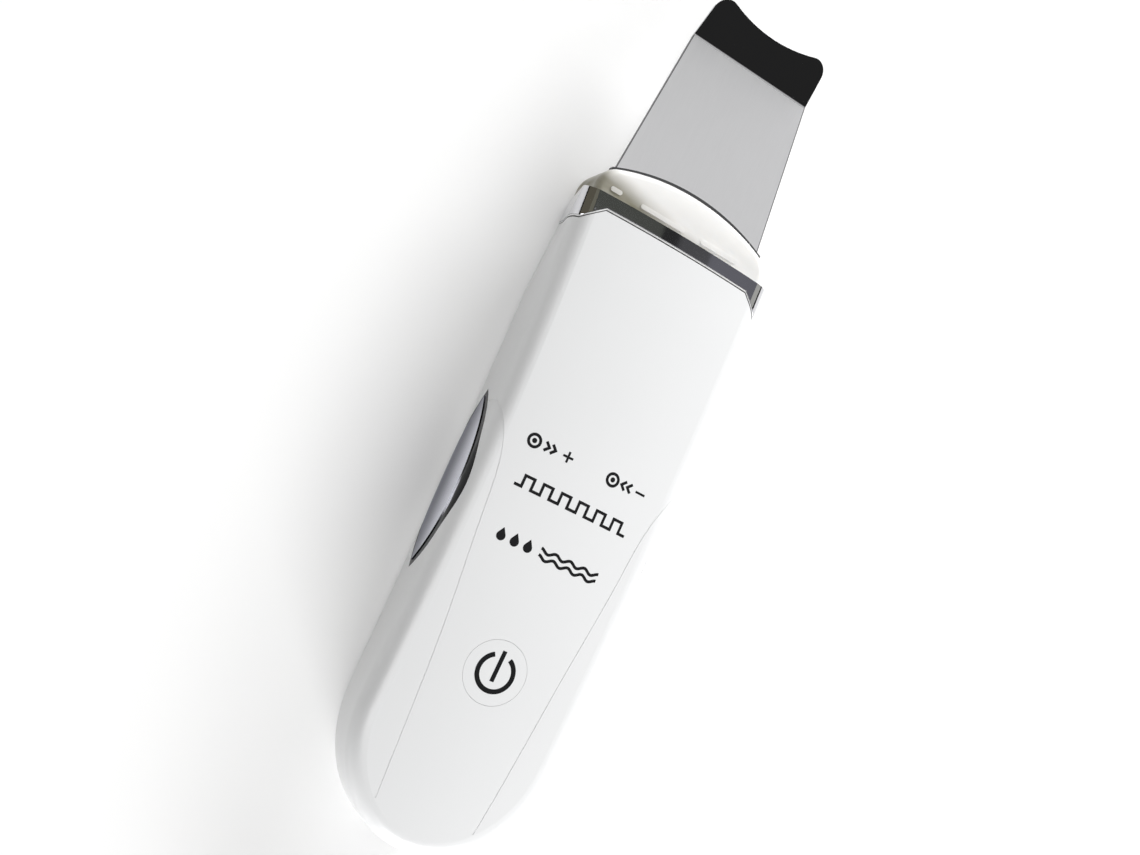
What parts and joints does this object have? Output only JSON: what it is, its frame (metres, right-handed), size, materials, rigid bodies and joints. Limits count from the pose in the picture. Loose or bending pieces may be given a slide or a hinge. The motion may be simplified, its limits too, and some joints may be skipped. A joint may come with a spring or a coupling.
{
  "type": "skin scrubber",
  "caption": "Hand-held ultrasonic skin scrubber: white pebble body with a front push button, lens-shaped side electrodes, a plated collar and a bent steel spatula blade.",
  "frame": {"origin": "middle of the rear face's plane, under the centre of the whole length, tail to blade tip", "axes": "+Z out of the front face, +Y along the length towards the blade, +X the device's right side with the button facing the viewer and the blade up"},
  "size_m": [0.0468, 0.1852, 0.0214],
  "materials": {
    "casing_white": "moulded, semi-gloss white",
    "smoked_chrome": "smoked mirror plating",
    "frosted_cover": "frosted translucent white",
    "blade_steel": "satin stainless steel with a polished tip",
    "seal_dark": "smooth silicone",
    "electrode_plate": "bright plating",
    "bezel_black": "high-gloss black",
    "silicone_clear": "soft silicone",
    "board_green": "solder mask",
    "chip_black": "moulded epoxy",
    "capacitor_can": "bare can",
    "ferrite_grey": "sintered",
    "copper_winding": "enamelled copper wire",
    "spring_bronze": "rolled strip",
    "screw_steel": "zinc plated",
    "cell_film": "metallised film wrap",
    "foam_black": "open-cell foam",
    "lead_insulation": "extruded insulation",
    "clear_acrylic": "clear acrylic",
    "lamp_amber": "moulded lens",
    "abs_inner": "moulded",
    "piezo_ceramic": "silvered ceramic",
    "socket_steel": "folded tinned steel"
  },
  "bodies": {
    "housing": {"front_casing": "casing_white", "rear_casing": "casing_white", "chrome_collar": "smoked_chrome", "head_cover": "frosted_cover", "cover_gasket": "silicone_clear", "blade_seal": "seal_dark", "blade_clamp": "abs_inner", "clamp_screws": "screw_steel", "transducer_bracket": "abs_inner", "piezo_leads": "lead_insulation", "right_electrode": "electrode_plate", "left_electrode": "electrode_plate", "right_electrode_bezel": "bezel_black", "left_electrode_bezel": "bezel_black", "right_contact_spring": "spring_bronze", "left_contact_spring": "spring_bronze", "button_return_ring": "silicone_clear", "switch_body": "chip_black", "main_board": "board_green", "board_screws": "screw_steel", "control_chip": "chip_black", "driver_capacitors": "capacitor_can", "transformer_core": "ferrite_grey", "transformer_coil": "copper_winding", "mode_leds": "lamp_amber", "light_guide": "clear_acrylic", "battery_cell": "cell_film", "battery_pad": "foam_black", "battery_connector": "abs_inner", "battery_leads": "lead_insulation", "charge_board": "board_green", "charge_leads": "lead_insulation", "usb_shell": "socket_steel", "usb_tongue": "chip_black", "glow_board": "board_green", "glow_leds": "lamp_amber", "casing_screws": "screw_steel", "screw_plugs": "silicone_clear"},
    "power_button": {"power_button": "casing_white"},
    "switch_plunger": {"switch_plunger": "abs_inner"},
    "blade_assembly": {"blade": "blade_steel", "piezo_disc": "piezo_ceramic"}
  },
  "joints": [
    {"name": "power_button_press", "type": "slide", "parent": "housing", "child": "power_button", "axis": [0, 0, -1], "range_m": [0, 0.00035], "stiffness_N_per_m": 300, "springref_m": -0.0005, "deforming": ["button_return_ring"]},
    {"name": "switch_plunger_travel", "type": "slide", "parent": "housing", "child": "switch_plunger", "axis": [0, 0, -1], "range_m": [0, 0.00036]},
    {"name": "blade_flex", "type": "hinge", "parent": "housing", "child": "blade_assembly", "pos_m": [0, 0.03121, 0.01285], "axis": [1, 0, 0], "range_deg": [-0.1, 0.1], "stiffness_Nm_per_rad": 6}
  ],
  "couplings": [
    {"joint": "switch_plunger_travel", "follows": "power_button_press", "ratio": 1}
  ]
}
